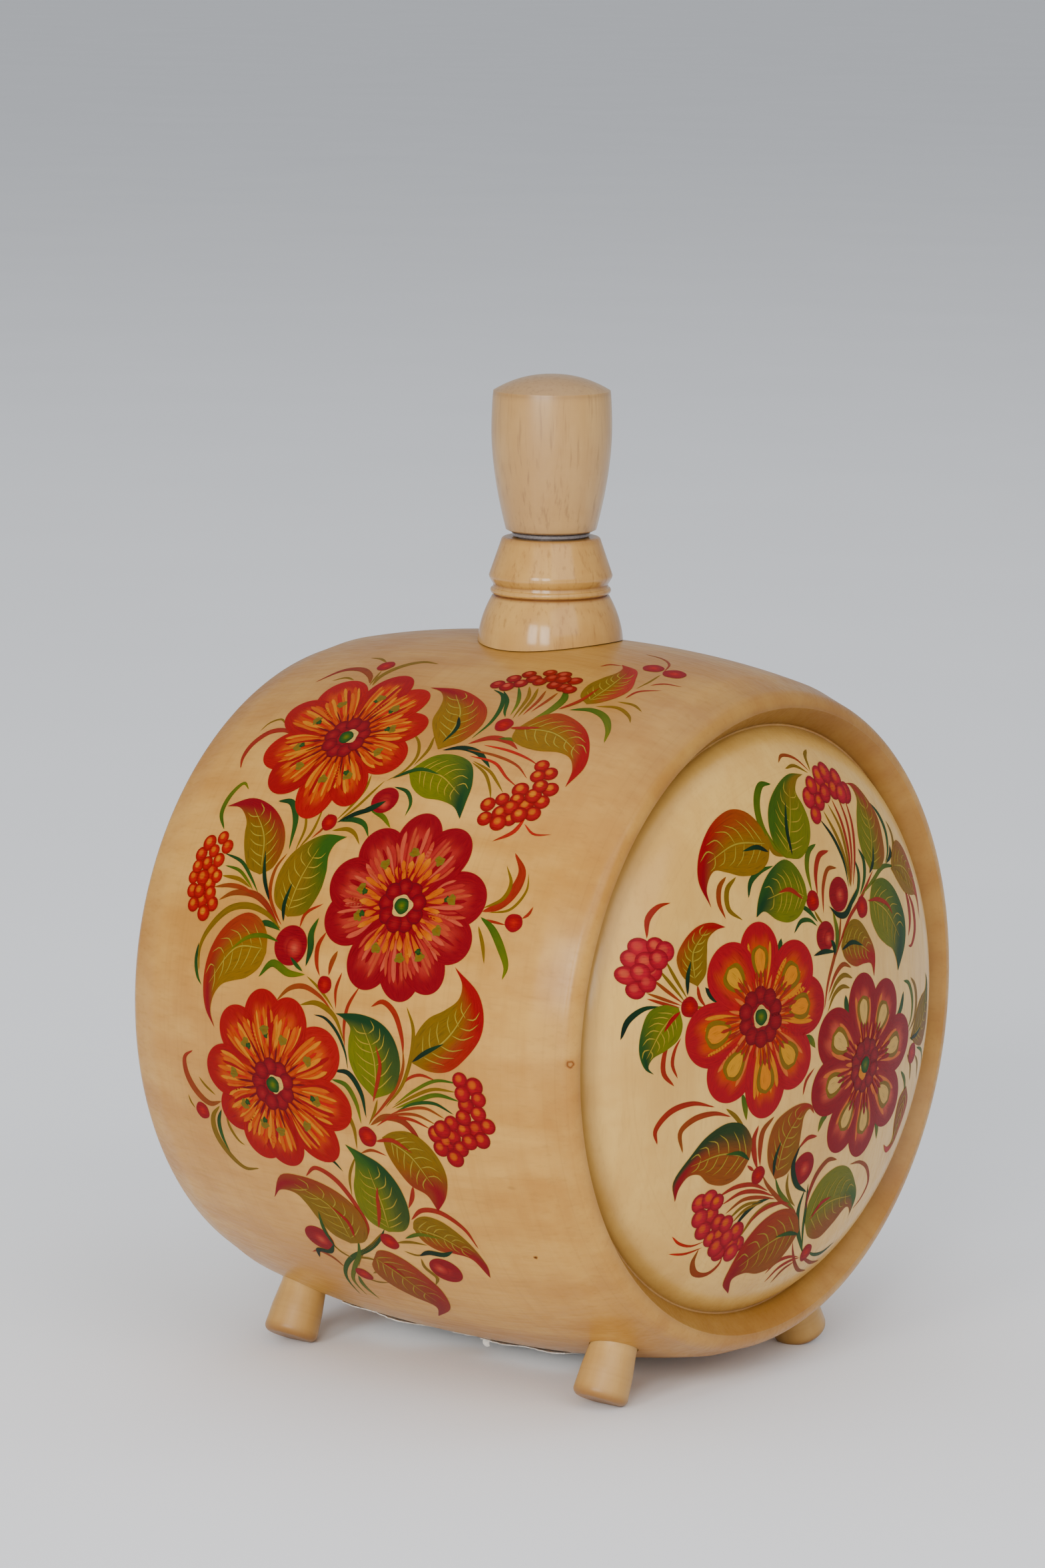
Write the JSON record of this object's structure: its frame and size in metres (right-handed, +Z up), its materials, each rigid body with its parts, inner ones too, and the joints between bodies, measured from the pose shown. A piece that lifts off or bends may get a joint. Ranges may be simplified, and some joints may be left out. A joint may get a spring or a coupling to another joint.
{
  "type": "wooden keg flask",
  "caption": "Painted wooden keg flask lying on splayed peg feet, with domed heads, a turned neck on its belly and a pull-out stopper.",
  "frame": {"origin": "on the table, under the middle of the keg", "axes": "+X along the barrel towards the front head, +Z up through the neck and stopper, -Y towards the painted side"},
  "size_m": [0.191, 0.2, 0.2759],
  "materials": {
    "barrel_wood": "honey-coloured turned birch under satin varnish",
    "head_wood": "pale cream turned wood under satin varnish",
    "neck_wood": "turned pale wood under glossy varnish",
    "stopper_wood": "turned pale wood under satin varnish",
    "foot_wood": "turned pale wood, thin varnish",
    "plug_plastic": "dark grey moulded plastic",
    "paint": "opaque red, orange, yellow and green brush painting under varnish",
    "label_paper": "blank white paper, torn"
  },
  "bodies": {
    "keg": {"barrel_shell": "barrel_wood", "front_head": "head_wood", "rear_head": "head_wood", "neck": "neck_wood", "foot_front_right": "foot_wood", "foot_front_left": "foot_wood", "foot_rear_right": "foot_wood", "foot_rear_left": "foot_wood", "paper_label": "label_paper"},
    "stopper": {"stopper_cap": "stopper_wood", "stopper_plug": "plug_plastic"}
  },
  "joints": [
    {"name": "stopper_pull", "type": "slide", "parent": "keg", "child": "stopper", "axis": [0, 0, 1], "range_m": [0, 0.035]}
  ]
}
